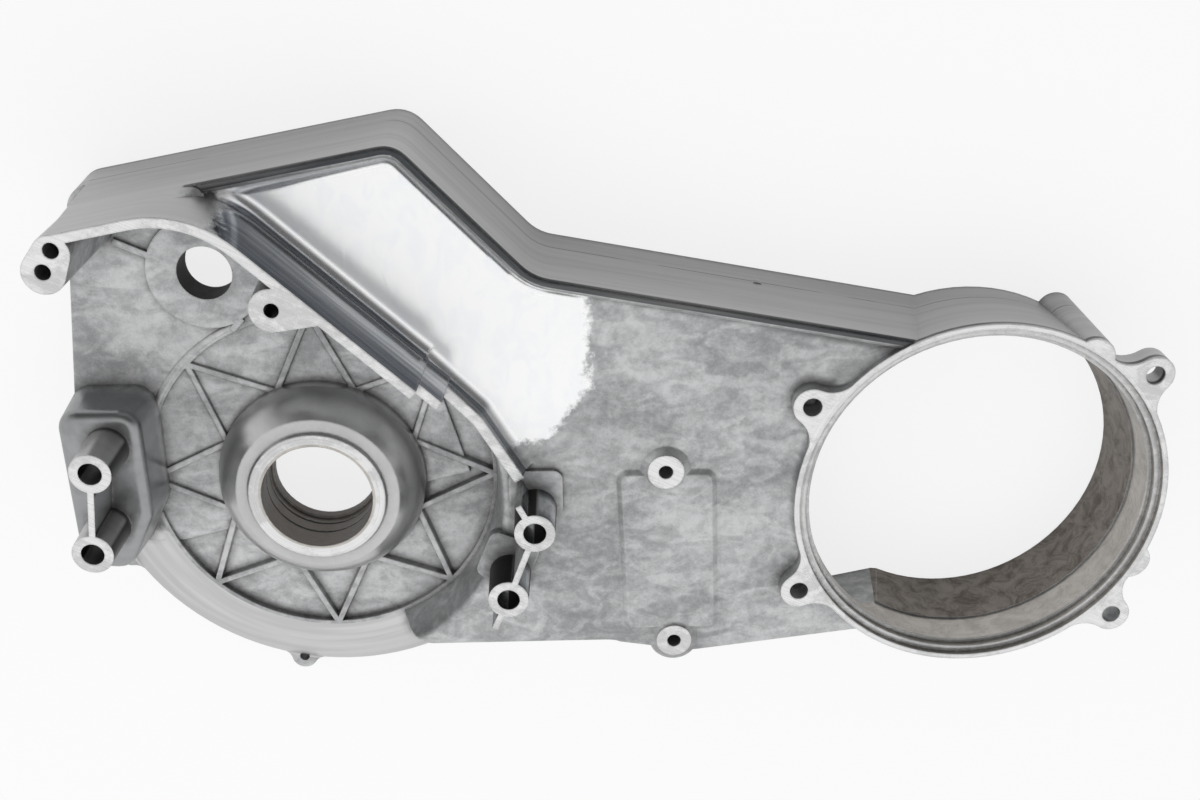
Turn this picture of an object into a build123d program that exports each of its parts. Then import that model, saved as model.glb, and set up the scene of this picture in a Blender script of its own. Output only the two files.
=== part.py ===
from build123d import *
import math
import os

# One-piece casting. It is drawn about the engine axis, with the clutch axis on the x axis to its
# left, the gasket face down on z = 0 and the inboard side up. The last step moves it to its own frame.

# Main spacing and heights
axis_distance = 325.0
draft_angle = 2.2
flange_top = 9.6
web_top = 26.5
disc_floor = 24.5
rib_top = 28.0
plate_top = 57.5
plate_thickness = 4.5
floor_thickness = 5.0
rim_top = 64.5
band_top = 69.0
step_top = 90.0
lip_top = 100.0
engine_face = 66.0
wall_thickness = 5.5
flange_width = 7.6
hollow_insets = (flange_width, wall_thickness)
clutch_face = 52.0
register_radius = 88.84
rib_ring_radius = 87.4

# Gasket outline: corner points and corner radii
tail_x, tail_y, tail_radius = -430.5, 148.4, 14.0
hump_x, hump_y, hump_radius = -273.6, 178.3, 16.0
valley_x, valley_y, valley_radius = -214.6, 117.6, 22.0
ring_side_x = -20.0
ring_upper_y = register_radius - 7.04
ring_lower_y = 10.14 - register_radius
keel_x, keel_y, keel_radius = -110.0, -97.8, 30.0
sag_x, sag_y, sag_radius = -181.0, -105.5, 30.0
chin_x, chin_y, chin_radius = -290.0, -117.9, 12.0
tail_side_x, tail_side_y, tail_side_radius = -444.5, 40.0, 30.0
tail_foot_x, tail_foot_y = -442.5, -37.0
web_foot_x, web_foot_y = -400.0, -37.0

# Corners of the plate part and of the web that hide under the tall wall and inside the clutch disc
panel_tip_x, panel_tip_y = -366.0, 160.7
lip_foot_x, lip_foot_y = -357.5, 148.8
lip_turn_x, lip_turn_y = -272.0, 69.5
disc_inside_reach = 25.0
web_inside_x, web_inside_y = -250.0, 0.0
web_panel_x, web_panel_y = -300.0, 173.3

# Lower edge of the raised plate
plate_edge_inset = 5.2
plate_chin_x, plate_chin_y = -283.5, plate_edge_inset - rib_ring_radius
plate_sag_x, plate_sag_y = sag_x, plate_chin_y
plate_keel_x, plate_keel_y = -140.0, -88.8
plate_ring_y = 15.84 - register_radius

# Clutch bowl and hub
flange_radius = 120.8
band_middle_radius, band_middle_top = 105.0, 20.5
hollow_side_top = 7.0
rib_ring_lip = 1.8
disc_radius = rib_ring_radius - rib_ring_lip
hollow_shoulder_radius = rib_ring_radius + 3.6
disc_wall_angle = 8.0
disc_wall_thickness = 3.8
dome_radius = 51.5
dome_height = 9.0
dome_flare = 3.5
dome_bulge = 4.5
dome_lean = 6.0
hub_face_radius = 33.4
hub_neck_radius = 40.0
hub_neck_drop = 3.0
hub_face_drop = 2.0
hub_face_flare = 1.0
clutch_bore_radius = 27.3
clutch_bore_bottom = 17.0
clutch_seat_radius = 25.9
clutch_seat_height = 5.0
hub_back_radius = 36.0
groove_depth = 0.8
groove_width = 1.6
groove_heights = (36.0, 27.0)

# Star of ribs on the disc
rib_count = 16
rib_width = 4.6
rib_draft = 12.0
rib_inner_radius = 50.0
rib_outer_radius = rib_ring_radius - rib_ring_lip / 2

# Starter hole
starter_x, starter_y = -371.4, 107.3
starter_radius = 13.0
starter_flange_radius = 27.5
starter_flange_top = 28.5
starter_sleeve_radius = 18.5
starter_sleeve_bottom = 10.0
web_rib_width = 3.0
web_ribs = (
    ((-412.0, 123.0), (-396.0, 115.8)),
    ((-356.5, 84.5), (-361.8, 78.4)),
)

# Engine ring, from the register outward and inward
ring_land = 2.66
ring_flare = 4.3
ring_face_radius = register_radius + ring_land
ring_foot_radius = ring_face_radius - ring_flare
register_depth = 3.0
register_step = 3.24
second_step_radius = register_radius - register_step
second_step_depth = 6.5
second_step = 2.2
bore_radius = second_step_radius - second_step
bore_machined_depth = 26.0
cast_bore_step = 0.8
cast_bore_radius = bore_radius - cast_bore_step
bore_taper = 1.9
bore_foot_radius = cast_bore_radius - bore_taper
bore_chamfer = 2.0

# Engine ears: reach from the axis, direction, outer radius and drop of the side
ear_hole_radius = 4.6
ear_offset = 8.1
ear_reach = ring_face_radius + ear_offset
ear_radius = 9.2
ear_angles = (149.3, -150.3, 40.7, -41.5)
ear_depth = 12.6
ear_blend_radius = 14.0
ear_sink = 0.2
ear_root_share = 0.95

# Solid lugs on the ring for the outer cover screws
lug_angles = (58.5, -23.5)
lug_inset = 4.5
lug_reach = ring_face_radius - lug_inset
lug_radius = 9.5
cover_screw_radius = 3.2
cover_screw_depth = 20.0

# Wall standing above the starter web, called the lip here
lip_start_x, lip_start_y = -417.0, 147.1
lip_corner_x, lip_corner_y = -357.4, 158.7
lip_end_x, lip_end_y = -267.5, 75.4
lip_radius = 51.5
lip_width = 4.5
lip_pad_circles = ((-420.0, 131.2, 9.4), (-415.4, 139.6, 8.0))
lip_pad_holes = ((-415.2, 140.9), (-420.1, 131.6))
lip_hole_radius = 3.5
lip_hole_depth = 25.0
lip_boss_x, lip_boss_y = -326.8, 113.6
lip_boss_radius = 9.8
lip_boss_hole_radius = 3.3
lip_gusset_x, lip_gusset_y, lip_gusset_radius = -308.5, 108.6, 2.2

# Lower wall that carries the lip down to the posts
step_end_x, step_end_y = -257.4, 65.8
band_turn_x, band_turn_y = -241.5, 49.0
band_end_x, band_end_y = -222.6, 17.4
band_width = 5.0
band_turn_radius = 12.0

# Rim along the upper wall
rim_width = 4.5
rim_round = 1.8

# Concave fillets where walls stand on the plate, and the round on its edge
foot_fillet_radius = 6.0
ring_fillet_radius = 5.5
plate_edge_round = 4.0

# Posts with their webs
post_top = 87.0
post_radius = 9.77
post_hole_radius = 5.47
post_taper = 1.0
post_web_width = 3.0
left_posts = ((-420.6, 31.1), (-426.0, -10.9))
right_posts = ((-217.6, -3.3), (-231.2, -39.4))
right_fin_ends = ((-225.1, 11.2), (-238.4, -55.7))
post_pad_height = 2.5
post_pad_size = 26.5
post_pad_radius = 5.0
post_pads = ((-217.3, 3.6, 0.0), (-232.1, -32.6, -22.0))

# Mound that carries the left posts
mound_left, mound_right = -445.6, -401.8
mound_upper_y, mound_lower_y = 51.0, -36.8
mound_foot_x, mound_foot_y = -418.4, -38.8
mound_waist_x, mound_waist_y = -402.8, -8.0
mound_radius = 12.0
mound_lean = 4.0
mound_round = 5.0

# Threaded bosses on the plate and the long flat pad between them
plate_bosses = ((-154.1, 15.2), (-148.5, -81.0))
plate_boss_radius = 9.0
plate_boss_height = 3.0
edge_boss_radius = 12.0
edge_boss_height = 28.0
edge_boss_taper = 9.0
plate_boss_hole_radius = 3.5
plate_boss_hole_depth = 18.0
plate_boss_flare = 3.6
plate_boss_flare_drop = 0.4
plate_boss_floor = 4.0
long_pad_corners = ((-174.2, -76.0), (-125.6, -76.0), (-129.0, 15.6), (-178.6, 15.6))
long_pad_height = 1.8
long_pad_taper = 57.0
long_pad_radius = 6.0

# Pads under the left ears
pad_height = 2.6
pad_taper = 4.0
pad_radius = 3.0
upper_pad = ((-105.4, 44.0), (-92.1, 65.7), (-72.0, 53.8), (-89.9, 34.9))
lower_pad = ((-106.5, -48.0), (-88.0, -38.0), (-76.0, -64.0), (-92.0, -71.5))

# Gasket screw ears on the bowl
gasket_ear_angles = (-154.0, -101.4)
gasket_ear_reach = flange_radius + 1.2
gasket_ear_radius = 6.8
gasket_hole_radius = 2.6

# Blind screw holes for the outer cover, drilled from the gasket face into bosses in the pan
flange_screws = (
    (-273.5, 167.3),
    (-213.0, 108.3),
    (-110.0, 91.4),
    (-150.0, -93.0),
    (-420.5, 138.8),
    (-432.2, 70.0),
)
low_flange_screws = ((-240.0, -104.4),)
flange_boss_radius = 6.5
flange_boss_height = 22.0
low_boss_height = 12.0
boss_floor = 3.0

# How far a piece starts inside what carries it, and how far a cut runs past the face that it opens
lip_root = 4.0
wall_root = 3.0
pad_root = 2.0
overlap = 1.0


def rounded_corner(before, corner, after):
    """Start, middle and end of the arc that rounds one corner (x, y, radius)."""
    x, y, radius = corner
    ax, ay = before[0] - x, before[1] - y
    bx, by = after[0] - x, after[1] - y
    a_length, b_length = math.hypot(ax, ay), math.hypot(bx, by)
    ax, ay, bx, by = ax / a_length, ay / a_length, bx / b_length, by / b_length
    half = math.acos(max(-1, min(1, ax * bx + ay * by))) / 2
    reach = radius / math.tan(half)
    mx, my = ax + bx, ay + by
    m_length = math.hypot(mx, my)
    to_arc = radius / math.sin(half) - radius
    start = (x + ax * reach, y + ay * reach)
    middle = (x + mx / m_length * to_arc, y + my / m_length * to_arc)
    end = (x + bx * reach, y + by * reach)
    return start, middle, end


def rounded_line(corners, closed=False):
    """Edges through corner points (x, y, radius), with an arc at each rounded corner."""
    count = len(corners)
    arcs = []
    for i, corner in enumerate(corners):
        if corner[2] > 0:
            arcs.append(rounded_corner(corners[i - 1], corner, corners[(i + 1) % count]))
        else:
            arcs.append((corner[:2],))
    edges = []
    for i, arc in enumerate(arcs):
        if len(arc) == 3:
            edges.append(ThreePointArc(*arc))
        if closed or i + 1 < count:
            edges.append(Line(arc[-1], arcs[(i + 1) % count][0]))
    return edges


def rounded_face(corners):
    """Flat face through corner points (x, y, radius)."""
    return make_face(rounded_line(corners, closed=True))


def moved_in(corners, distance, closed=True):
    """The same corner points with every side moved to its left, which is inward on an outline."""
    count = len(corners)
    lines = []
    for i in range(count):
        x0, y0, _ = corners[i]
        x1, y1, _ = corners[(i + 1) % count]
        length = math.hypot(x1 - x0, y1 - y0)
        dx, dy = (x1 - x0) / length, (y1 - y0) / length
        lines.append((x0 - distance * dy, y0 + distance * dx, dx, dy))
    result = []
    for i in range(count):
        if not closed and i == 0:
            result.append(lines[0][:2] + (0,))
            continue
        if not closed and i == count - 1:
            x0, y0, dx, dy = lines[i - 1]
            x1, y1, _ = corners[i]
            result.append((x1 - distance * dy, y1 + distance * dx, 0))
            continue
        ax, ay, adx, ady = lines[i - 1]
        bx, by, bdx, bdy = lines[i]
        cross = adx * bdy - ady * bdx
        along = ((bx - ax) * bdy - (by - ay) * bdx) / cross
        turn = math.copysign(1, cross)
        radius = max(corners[i][2] - turn * distance, 1.0) if corners[i][2] > 0 else 0
        result.append((ax + along * adx, ay + along * ady, radius))
    return result


def block_between(base, top, height, low, high, insets=(0, 0)):
    """Solid between two matching outlines, cut to the heights low and high and set in at each."""
    sections = []
    for level, inset in zip((low, high), insets):
        share = level / height
        outline = []
        for (x0, y0, r0), (x1, y1, r1) in zip(base, top):
            outline.append((x0 + share * (x1 - x0), y0 + share * (y1 - y0), r0 + share * (r1 - r0)))
        sections.append(Pos(0, 0, level) * rounded_face(moved_in(outline, inset)))
    return loft(sections, ruled=True)


def at_angle(reach, angle):
    """Point at a distance and direction from the engine axis."""
    turn = math.radians(angle)
    return reach * math.cos(turn), reach * math.sin(turn)


def disc(radius, low, high, x=0.0, y=0.0):
    """Upright cylinder between two heights."""
    return Pos(x, y, low) * Cylinder(radius, high - low, align=(Align.CENTER, Align.CENTER, Align.MIN))


def cone(foot, head, low, high, x=0.0, y=0.0):
    """Upright cone between two heights."""
    return Pos(x, y, low) * Cone(foot, head, high - low, align=(Align.CENTER, Align.CENTER, Align.MIN))


def standing_wall(path, width, low, high, side):
    """Wall along a path, widening downward with the casting draft."""
    strip = make_face(path.offset_2d(width, side=side))
    return extrude(Pos(0, 0, high) * strip, amount=low - high, taper=-draft_angle)


def top_lean(height):
    """How far a drafted wall leans in at a height."""
    return height * math.tan(math.radians(draft_angle))


def block_outlines():
    """Outline of the plate part at the gasket face and at the plate."""
    disc_inside_x = -axis_distance + disc_inside_reach
    base = [
        (chin_x, chin_y, chin_radius),
        (sag_x, sag_y, sag_radius),
        (keel_x, keel_y, keel_radius),
        (ring_side_x, ring_lower_y, 0),
        (ring_side_x, ring_upper_y, 0),
        (valley_x, valley_y, valley_radius),
        (hump_x, hump_y, hump_radius),
        (panel_tip_x, panel_tip_y, 0),
        (lip_foot_x, lip_foot_y, 0),
        (lip_turn_x, lip_turn_y, 0),
        (disc_inside_x, lip_turn_y / 3, 0),
        (disc_inside_x, -lip_turn_y, 0),
    ]
    top = moved_in(base, top_lean(plate_top))
    top[0] = (plate_chin_x, plate_chin_y, chin_radius)
    top[1] = (plate_sag_x, plate_sag_y, sag_radius)
    top[2] = (plate_keel_x, plate_keel_y, keel_radius)
    top[3] = (ring_side_x, plate_ring_y, 0)
    top[-1] = (plate_chin_x, -lip_turn_y, 0)
    top[-2] = base[-2]
    return base, top


def web_outlines():
    """Outline of the starter web at the gasket face and at its floor."""
    base = [
        (tail_foot_x, tail_foot_y, 0),
        (web_foot_x, web_foot_y, 0),
        (web_inside_x, web_inside_y, 0),
        (web_panel_x, web_panel_y, 0),
        (tail_x, tail_y, tail_radius),
        (tail_side_x, tail_side_y, tail_side_radius),
    ]
    return base, moved_in(base, top_lean(web_top))


def mound_outline():
    """Outline of the mound under the left posts where it leaves the web."""
    return [
        (mound_left, mound_lower_y, mound_radius),
        (mound_foot_x, mound_foot_y, mound_radius),
        (mound_waist_x, mound_waist_y, mound_radius),
        (mound_right, mound_upper_y, mound_radius),
        (mound_left, mound_upper_y, mound_radius),
    ]


def bowl():
    """Clutch bowl: a band falling from the rib ring to the gasket flange."""
    with BuildPart() as part:
        with BuildSketch(Plane.XZ):
            with BuildLine():
                Polyline((0, 0), (flange_radius, 0), (flange_radius, flange_top))
                ThreePointArc(
                    (flange_radius, flange_top),
                    (band_middle_radius, band_middle_top),
                    (rib_ring_radius, rib_top),
                )
                Polyline((rib_ring_radius, rib_top), (0, rib_top), (0, 0))
            make_face()
        revolve(axis=Axis.Z)
    return Pos(-axis_distance, 0, 0) * part.part


def bowl_hollow():
    """Underside of the clutch bowl."""
    inner = flange_radius - flange_width
    top_z = disc_floor - floor_thickness
    with BuildPart() as part:
        with BuildSketch(Plane.XZ):
            with BuildLine():
                Polyline(
                    (0, -overlap),
                    (inner, -overlap),
                    (inner, hollow_side_top),
                    (hollow_shoulder_radius, top_z),
                    (0, top_z),
                    (0, -overlap),
                )
            make_face()
        revolve(axis=Axis.Z)
    return Pos(-axis_distance, 0, 0) * part.part


def disc_wall(foot, low, high):
    """Cone inside the rising wall round the clutch disc."""
    head = foot + (high - low) * math.tan(math.radians(disc_wall_angle))
    return cone(foot, head, low, high, -axis_distance)


def disc_recess():
    """Everything above the disc floor and inside the rising wall of the plate."""
    x = -axis_distance
    well = disc(disc_radius, disc_floor, rib_top + overlap, x)
    return well + disc_wall(rib_ring_radius, rib_top, plate_top + overlap)


def ear_face(hub_radius, reach, radius, blend):
    """Ear on a circle, pointing along x, with a concave blend on each side."""
    to_blend = hub_radius + blend
    cosine = (reach**2 + to_blend**2 - (radius + blend) ** 2) / (2 * reach * to_blend)
    turn = math.acos(cosine)
    bx, by = to_blend * math.cos(turn), to_blend * math.sin(turn)
    foot = (hub_radius * math.cos(turn), hub_radius * math.sin(turn))
    share = radius / (radius + blend)
    neck = (reach + (bx - reach) * share, by * share)
    mx, my = (foot[0] + neck[0]) / 2 - bx, (foot[1] + neck[1]) / 2 - by
    length = math.hypot(mx, my)
    middle = (bx + mx / length * blend, by + my / length * blend)
    inside = hub_radius * ear_root_share
    return make_face([
        ThreePointArc(foot, middle, neck),
        ThreePointArc(neck, (reach + radius, 0), (neck[0], -neck[1])),
        ThreePointArc((neck[0], -neck[1]), (middle[0], -middle[1]), (foot[0], -foot[1])),
        Line((foot[0], -foot[1]), (inside, -foot[1])),
        Line((inside, -foot[1]), (inside, foot[1])),
        Line((inside, foot[1]), foot),
    ])


def ring():
    """Engine ring with ears and cover-screw lugs, still solid."""
    body = cone(ring_foot_radius, ring_face_radius, 0, engine_face)
    ear = ear_face(ring_face_radius - ear_sink, ear_reach, ear_radius, ear_blend_radius)
    for angle in ear_angles:
        body += Rot(0, 0, angle) * extrude(Pos(0, 0, engine_face - ear_depth) * ear, ear_depth)
    for angle in lug_angles:
        x, y = at_angle(lug_reach, angle)
        body += disc(lug_radius, 0, engine_face, x, y)
    return body


def ring_bore():
    """Stepped bore of the engine ring."""
    step_z = engine_face - second_step_depth
    ledge = engine_face - bore_machined_depth
    wide_foot = bore_foot_radius + 2 * bore_chamfer
    bore = disc(register_radius, engine_face - register_depth, engine_face + overlap)
    bore += disc(second_step_radius, step_z, engine_face)
    bore += disc(bore_radius, ledge, step_z)
    bore += cone(bore_foot_radius, cast_bore_radius, 0, ledge)
    bore += disc(bore_foot_radius, -overlap, overlap)
    bore += cone(wide_foot, bore_foot_radius, -bore_chamfer, bore_chamfer)
    return bore


def lip_corners():
    """Line of the tall wall."""
    return [
        (lip_start_x, lip_start_y, 0),
        (lip_corner_x, lip_corner_y, lip_radius),
        (lip_end_x, lip_end_y, 0),
    ]


def band_corners(start_x, start_y):
    """Line of the low wall that runs on to the posts, from a given start."""
    return [
        (start_x, start_y, 0),
        (band_turn_x, band_turn_y, band_turn_radius),
        (band_end_x, band_end_y, 0),
    ]


def lip():
    """Tall wall around the starter web, with its pad and screw boss."""
    low = web_top - lip_root
    path = Wire(rounded_line(lip_corners()))
    body = standing_wall(path, lip_width, low, lip_top, Side.RIGHT)
    circles = Sketch()
    for x, y, radius in lip_pad_circles:
        circles += Pos(x, y) * Circle(radius)
    body += extrude(Pos(0, 0, low) * make_hull(circles.edges()), amount=lip_top - low)
    boss = Pos(lip_boss_x, lip_boss_y) * Circle(lip_boss_radius)
    body += extrude(Pos(0, 0, lip_top) * boss, amount=low - lip_top, taper=-draft_angle)
    tail = Pos(lip_gusset_x, lip_gusset_y) * Circle(lip_gusset_radius)
    body += extrude(Pos(0, 0, lip_top) * make_hull((boss + tail).edges()), amount=low - lip_top)
    step_path = Wire([Line((lip_end_x, lip_end_y), (step_end_x, step_end_y))])
    body += standing_wall(step_path, lip_width, low, step_top, Side.RIGHT)
    band_path = Wire(rounded_line(band_corners(step_end_x, step_end_y)))
    body += standing_wall(band_path, band_width, plate_top - wall_root, band_top, Side.RIGHT)
    return body


def rim(base):
    """Thin rim standing along the edge of the upper wall."""
    line = moved_in(base, top_lean(rim_top))
    path = Wire(rounded_line([line[7][:2] + (0,), line[6], line[5], line[4]]))
    wall = standing_wall(path, rim_width, plate_top - wall_root, rim_top, Side.RIGHT)
    long_edges = [edge for edge in wall.edges().group_by(Axis.Z)[-1] if edge.length > rim_width + overlap]
    return fillet(long_edges, rim_round)


def foot_section(radius):
    """Concave fillet in the corner at the origin, between a floor along x and a wall along y."""
    to_arc = radius * (1 - math.sqrt(0.5))
    back = -overlap
    return make_face([
        Line((back, back), (radius, back)),
        Line((radius, back), (radius, 0)),
        ThreePointArc((radius, 0), (to_arc, to_arc), (0, radius)),
        Line((0, radius), (back, radius)),
        Line((back, radius), (back, back)),
    ])


def swept_fillet(corners, radius, side):
    """Fillet along the foot of a wall, on its left (1) or right (-1) as the line runs."""
    path = Wire(rounded_line(corners))
    start, heading = path @ 0, path % 0
    across = Vector(-side * heading.Y, side * heading.X, 0)
    plane = Plane(origin=(start.X, start.Y, plate_top), x_dir=across, z_dir=across.cross(Vector(0, 0, 1)))
    return sweep(plane * foot_section(radius), path=Pos(0, 0, plate_top) * path)


def foot_fillets(base, top):
    """Fillets where the rim, the lip, its band and the ring stand on the plate."""
    rim_lean = top_lean(rim_top) + rim_width + top_lean(rim_top - plate_top)
    line = moved_in(base, rim_lean)
    rim_line = [line[7], line[6], line[5], line[4]]
    lip_line = moved_in(lip_corners(), top_lean(lip_top - plate_top), closed=False)
    band_line = moved_in(
        band_corners(lip_end_x, lip_end_y), top_lean(band_top - plate_top), closed=False
    )
    fillets = swept_fillet(rim_line, foot_fillet_radius, -1)
    fillets += swept_fillet(lip_line, foot_fillet_radius, 1)
    fillets += swept_fillet(band_line, foot_fillet_radius, 1)
    ring_foot = ring_foot_radius + (ring_face_radius - ring_foot_radius) * plate_top / engine_face
    section = Plane.XZ * Pos(ring_foot, plate_top) * foot_section(ring_fillet_radius)
    fillets += revolve(section, axis=Axis.Z)
    room = block_between(base, top, plate_top, plate_top - overlap, plate_top + foot_fillet_radius)
    return fillets & room


def straight_web(start, end, width, low, high):
    """Thin upright web between two points."""
    length = math.hypot(end[0] - start[0], end[1] - start[1])
    angle = math.degrees(math.atan2(end[1] - start[1], end[0] - start[0]))
    face = Pos(*start) * Rot(0, 0, angle) * Pos(length / 2, 0) * Rectangle(length, width)
    return extrude(Pos(0, 0, low) * face, high - low)


def posts():
    """Four hollow posts with the webs that join them and the square pads of the right pair."""
    low = plate_top - wall_root
    square = RectangleRounded(post_pad_size, post_pad_size, post_pad_radius)
    body = Part()
    for x, y, angle in post_pads:
        placed = Pos(x, y, low) * Rot(0, 0, angle) * square
        body += extrude(placed, wall_root + post_pad_height, taper=draft_angle)
    for pair in (left_posts, right_posts):
        for x, y in pair:
            circle = Pos(x, y, post_top) * Circle(post_radius)
            body += extrude(circle, amount=low - post_top, taper=-post_taper)
        body += straight_web(*pair, post_web_width, low, post_top)
    for post, fin_end in zip(right_posts, right_fin_ends):
        body += straight_web(post, fin_end, post_web_width, low, post_top)
    return body


def star_ribs():
    """Zigzag of thin ribs between the hub and the rib ring."""
    body = Part()
    step = 360 / rib_count
    for i in range(rib_count):
        inner_turn = math.radians(step * (i + 1 - i % 2))
        outer_turn = math.radians(step * (i + i % 2))
        inner = (rib_inner_radius * math.cos(inner_turn), rib_inner_radius * math.sin(inner_turn))
        outer = (rib_outer_radius * math.cos(outer_turn), rib_outer_radius * math.sin(outer_turn))
        length = math.hypot(outer[0] - inner[0], outer[1] - inner[1])
        angle = math.degrees(math.atan2(outer[1] - inner[1], outer[0] - inner[0]))
        face = Pos(*inner) * Rot(0, 0, angle) * Pos(length / 2, 0) * Rectangle(length, rib_width)
        root = Pos(0, 0, disc_floor - overlap) * face
        body += extrude(root, rib_top - disc_floor + overlap, taper=rib_draft)
    return Pos(-axis_distance, 0, 0) * body


def hub():
    """Bearing hub: a rounded dome rising to the machined face."""
    foot = dome_radius + dome_flare
    flare_top = disc_floor + dome_flare
    shoulder = disc_floor + dome_height
    neck_top = clutch_face - hub_neck_drop
    to_arc = 1 - math.sqrt(0.5)
    bulge_radius = dome_radius - dome_bulge
    bulge_height = (shoulder + neck_top) / 2 + dome_bulge * to_arc
    with BuildPart() as part:
        with BuildSketch(Plane.XZ):
            with BuildLine():
                Polyline(
                    (0, clutch_bore_bottom),
                    (hub_back_radius, clutch_bore_bottom),
                    (dome_radius - dome_lean, disc_floor - floor_thickness),
                    (foot, disc_floor - overlap),
                    (foot, disc_floor),
                )
                ThreePointArc(
                    (foot, disc_floor),
                    (foot - dome_flare * (1 - to_arc), disc_floor + dome_flare * to_arc),
                    (dome_radius, flare_top),
                )
                Line((dome_radius, flare_top), (dome_radius, shoulder))
                ThreePointArc(
                    (dome_radius, shoulder),
                    (bulge_radius, bulge_height),
                    (hub_neck_radius, neck_top),
                )
                Polyline(
                    (hub_neck_radius, neck_top),
                    (hub_face_radius + hub_face_flare, clutch_face - hub_face_drop),
                    (hub_face_radius, clutch_face),
                    (0, clutch_face),
                    (0, clutch_bore_bottom),
                )
            make_face()
        revolve(axis=Axis.Z)
    return Pos(-axis_distance, 0, 0) * part.part


def hub_bore():
    """Bearing bore with its seat and two grooves."""
    x = -axis_distance
    bore = disc(clutch_bore_radius, clutch_bore_bottom + clutch_seat_height, clutch_face + overlap, x)
    bore += disc(clutch_seat_radius, clutch_bore_bottom - overlap, clutch_face, x)
    for z in groove_heights:
        bore += disc(clutch_bore_radius + groove_depth, z, z + groove_width, x)
    return bore


def plate_pads(corners):
    """Raised rhombic pad under an ear."""
    outline = rounded_face([(x, y, pad_radius) for x, y in corners])
    return extrude(Pos(0, 0, plate_top - pad_root) * outline, pad_height + pad_root, taper=pad_taper)


def long_pad():
    """Flat pad with sloping sides between the two plate bosses, and a flare about each boss."""
    corners = [(x, y, long_pad_radius) for x, y in long_pad_corners]
    outline = rounded_face(corners)
    pad = extrude(Pos(0, 0, plate_top) * outline, long_pad_height, taper=long_pad_taper)
    pad += extrude(Pos(0, 0, plate_top - overlap) * outline, overlap)
    flare_foot = plate_boss_radius + plate_boss_flare
    flare_top = plate_top + plate_boss_height - plate_boss_flare_drop
    for x, y in plate_bosses:
        pad += cone(flare_foot, plate_boss_radius, plate_top, flare_top, x, y)
    return pad


def plate_hollow(base, top):
    """Hollow under the plate, kept clear of the clutch disc and its wall."""
    hollow = block_between(base, top, plate_top, -overlap, plate_top - plate_thickness, hollow_insets)
    foot = rib_ring_radius + disc_wall_thickness
    return hollow - disc_wall(foot, disc_floor - floor_thickness, plate_top)


def mound():
    """Mound under the left posts, with a rounded top."""
    low = web_top - floor_thickness
    foot = Pos(0, 0, low) * rounded_face(mound_outline())
    solid = extrude(foot, amount=plate_top - low, taper=mound_lean)
    return fillet(solid.edges().group_by(Axis.Z)[-1], mound_round)


def mound_hollow():
    """Hollow under the mound."""
    low = web_top - floor_thickness - overlap
    foot = Pos(0, 0, low) * rounded_face(moved_in(mound_outline(), wall_thickness))
    return extrude(foot, amount=plate_top - wall_thickness - low, taper=mound_lean)


def gasket_ears():
    """Two small ears on the flange of the bowl."""
    ear = ear_face(flange_radius - ear_sink, gasket_ear_reach, gasket_ear_radius, gasket_ear_radius)
    body = Part()
    for angle in gasket_ear_angles:
        body += Rot(0, 0, angle) * extrude(ear, flange_top)
    return Pos(-axis_distance, 0, 0) * body


def screw_bosses():
    """Place and height of each boss that carries a cover screw in the pan."""
    tall = [(x, y, flange_boss_height) for x, y in flange_screws]
    return tall + [(x, y, low_boss_height) for x, y in low_flange_screws]


def screw_holes():
    """Every bolt and screw hole of the casting."""
    holes = Part()
    for angle in ear_angles:
        x, y = at_angle(ear_reach, angle)
        holes += disc(ear_hole_radius, engine_face - ear_depth - overlap, engine_face + overlap, x, y)
    for x, y in left_posts + right_posts:
        holes += disc(post_hole_radius, 0, post_top + overlap, x, y)
    lip_hole_foot = lip_top - lip_hole_depth
    for x, y in lip_pad_holes:
        holes += disc(lip_hole_radius, lip_hole_foot, lip_top + overlap, x, y)
    holes += disc(lip_boss_hole_radius, lip_hole_foot, lip_top + overlap, lip_boss_x, lip_boss_y)
    for x, y in plate_bosses:
        face = plate_top + plate_boss_height
        holes += disc(plate_boss_hole_radius, face - plate_boss_hole_depth, face + overlap, x, y)
    for angle in gasket_ear_angles:
        x, y = at_angle(gasket_ear_reach, angle)
        holes += disc(gasket_hole_radius, -overlap, flange_top + overlap, x - axis_distance, y)
    for angle in lug_angles:
        x, y = at_angle(lug_reach, angle)
        holes += disc(cover_screw_radius, -overlap, cover_screw_depth, x, y)
    for x, y, height in screw_bosses():
        holes += disc(cover_screw_radius, -overlap, height - boss_floor, x, y)
    return holes


def edge_boss():
    """Round swelling of the lower wall about the lower plate boss."""
    x, y = plate_bosses[1]
    circle = Pos(x, y, plate_top) * Circle(edge_boss_radius)
    return extrude(circle, amount=-edge_boss_height, taper=-edge_boss_taper)


def lower_plate_edges(block):
    """Top edges of the plate along the clutch disc and on to the end of the straight lower edge."""
    edges = block.edges().group_by(Axis.Z)[-1]
    chosen = [edge for edge in edges if edge.geom_type == GeomType.CIRCLE and edge.radius > disc_radius]
    for edge in edges:
        middle = edge.center()
        if middle.Y < plate_ring_y and middle.X < plate_sag_x:
            chosen.append(edge)
    return chosen


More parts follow.
